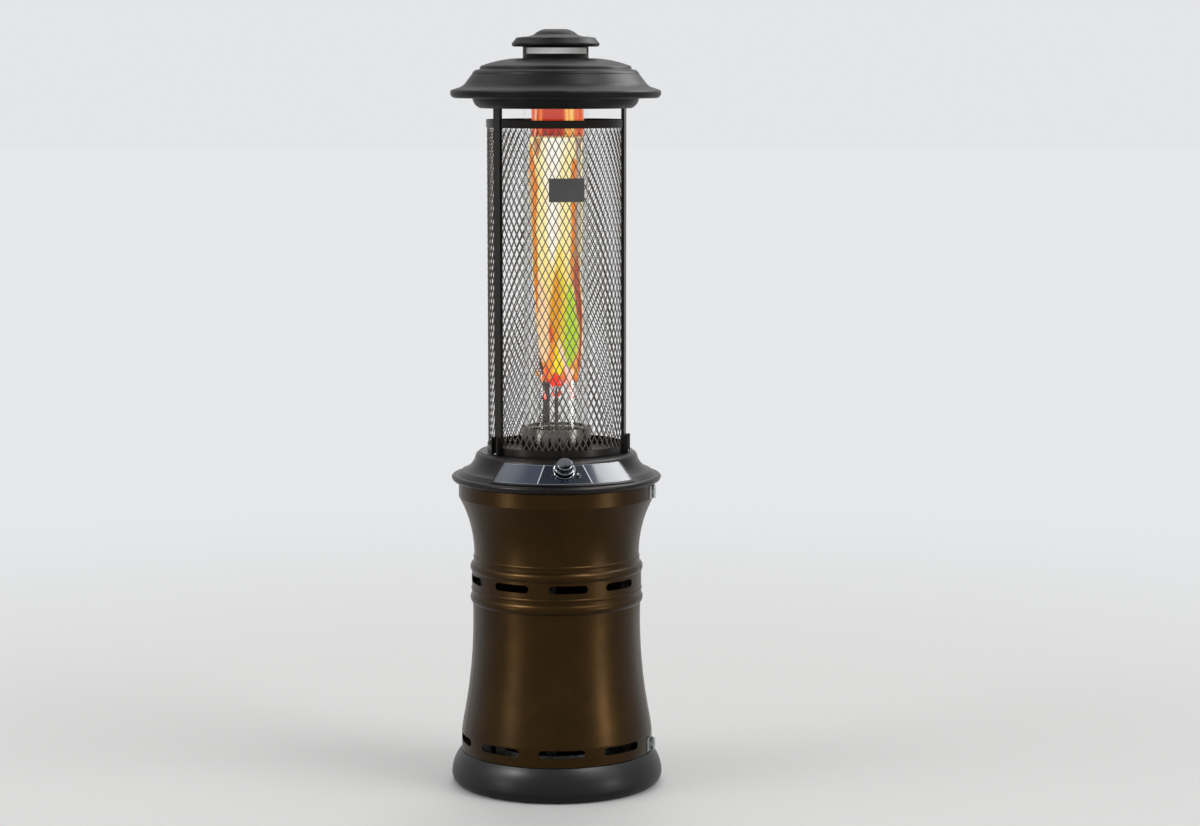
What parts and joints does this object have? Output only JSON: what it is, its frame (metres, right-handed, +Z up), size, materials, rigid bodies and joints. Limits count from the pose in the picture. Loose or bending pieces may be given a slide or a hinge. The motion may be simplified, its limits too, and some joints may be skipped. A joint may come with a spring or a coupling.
{
  "type": "patio heater",
  "caption": "Tall free-standing gas patio heater with a round cabinet, a glass flame column inside a mesh guard, and a hood.",
  "frame": {"origin": "centre of the base on the floor", "axes": "+Z up through the middle of the column, -Y towards the control panel, +X to the right of a person in front of it"},
  "size_m": [0.5468, 0.5468, 1.945],
  "materials": {
    "bronze_paint": "satin bronze powder coat",
    "black_paint": "satin black powder coat",
    "charcoal_paint": "matt charcoal coat",
    "brown_paint": "satin dark brown-grey powder coat",
    "zinc_steel": "zinc plated",
    "bright_steel": "bright stainless",
    "chrome": "polished",
    "glass": "clear",
    "fibre_gasket": "woven glass fibre",
    "rubber": "matt",
    "black_plastic": "glossy",
    "label_film": "glossy dark blue-grey, bare",
    "brass": "machined",
    "white_ceramic": "glazed ceramic",
    "copper_line": "drawn copper"
  },
  "bodies": {
    "heater": {"base_ring": "charcoal_paint", "base_plate": "zinc_steel", "foot_pads": "rubber", "bottle_hoop": "zinc_steel", "frame_post_left": "zinc_steel", "frame_post_right": "zinc_steel", "frame_post_rear": "zinc_steel", "rear_shell": "bronze_paint", "door_magnet": "black_plastic", "hinge_lower_fixed_leaf": "zinc_steel", "hinge_pin_lower": "bright_steel", "hinge_upper_fixed_leaf": "zinc_steel", "hinge_pin_upper": "bright_steel", "hinge_screws": "bright_steel", "console_ring": "brown_paint", "deck_plate": "brown_paint", "control_fascia": "brown_paint", "label_centre": "label_film", "label_left": "label_film", "label_right": "label_film", "gas_valve": "brass", "knob_bezel": "chrome", "igniter_housing": "black_plastic", "burner_base": "bright_steel", "burner_head": "bright_steel", "pilot_hood": "bright_steel", "igniter_electrode": "white_ceramic", "gas_pipe": "copper_line", "ignition_lead": "rubber", "thermocouple": "copper_line", "tilt_switch": "black_plastic", "glass_seat": "bright_steel", "gasket_lower": "fibre_gasket", "glass_tube": "glass", "glass_collar": "bright_steel", "gasket_upper": "fibre_gasket", "guard_post_left": "brown_paint", "guard_post_right": "brown_paint", "guard_post_rear": "brown_paint", "post_feet": "brown_paint", "foot_screws": "zinc_steel", "guard_ring_lower": "brown_paint", "guard_ring_upper": "brown_paint", "guard_mesh_front": "bright_steel", "guard_mesh_right": "bright_steel", "guard_mesh_left": "bright_steel", "bare_plate": "black_paint", "hood_pan": "black_paint", "hood": "black_paint", "chimney_neck": "black_paint", "vent_strip": "bright_steel", "top_cap": "black_paint"},
    "door": {"door_panel": "bronze_paint", "hinge_upper_door_leaf": "zinc_steel", "hinge_lower_door_leaf": "zinc_steel"},
    "knob_push": {"valve_push_sleeve": "brass"},
    "knob": {"control_knob": "chrome", "valve_stem": "brass"},
    "button": {"igniter_button": "black_plastic"}
  },
  "joints": [
    {"name": "door_hinge", "type": "hinge", "parent": "heater", "child": "door", "pos_m": [0.24442, -0.07942, 0.4], "axis": [0, 0, 1], "range_deg": [0, 110]},
    {"name": "knob_push", "type": "slide", "parent": "heater", "child": "knob_push", "axis": [0, 0.6845, -0.729], "range_m": [0, 0.004], "stiffness_N_per_m": 600, "springref_m": -0.006},
    {"name": "knob_turn", "type": "hinge", "parent": "knob_push", "child": "knob", "pos_m": [0, -0.22249, 0.84457], "axis": [0, -0.6845, 0.729], "range_deg": [0, 230]},
    {"name": "igniter_push", "type": "slide", "parent": "heater", "child": "button", "axis": [-0.1, 0.6772, -0.729], "range_m": [0, 0.004], "stiffness_N_per_m": 500, "springref_m": -0.003}
  ]
}
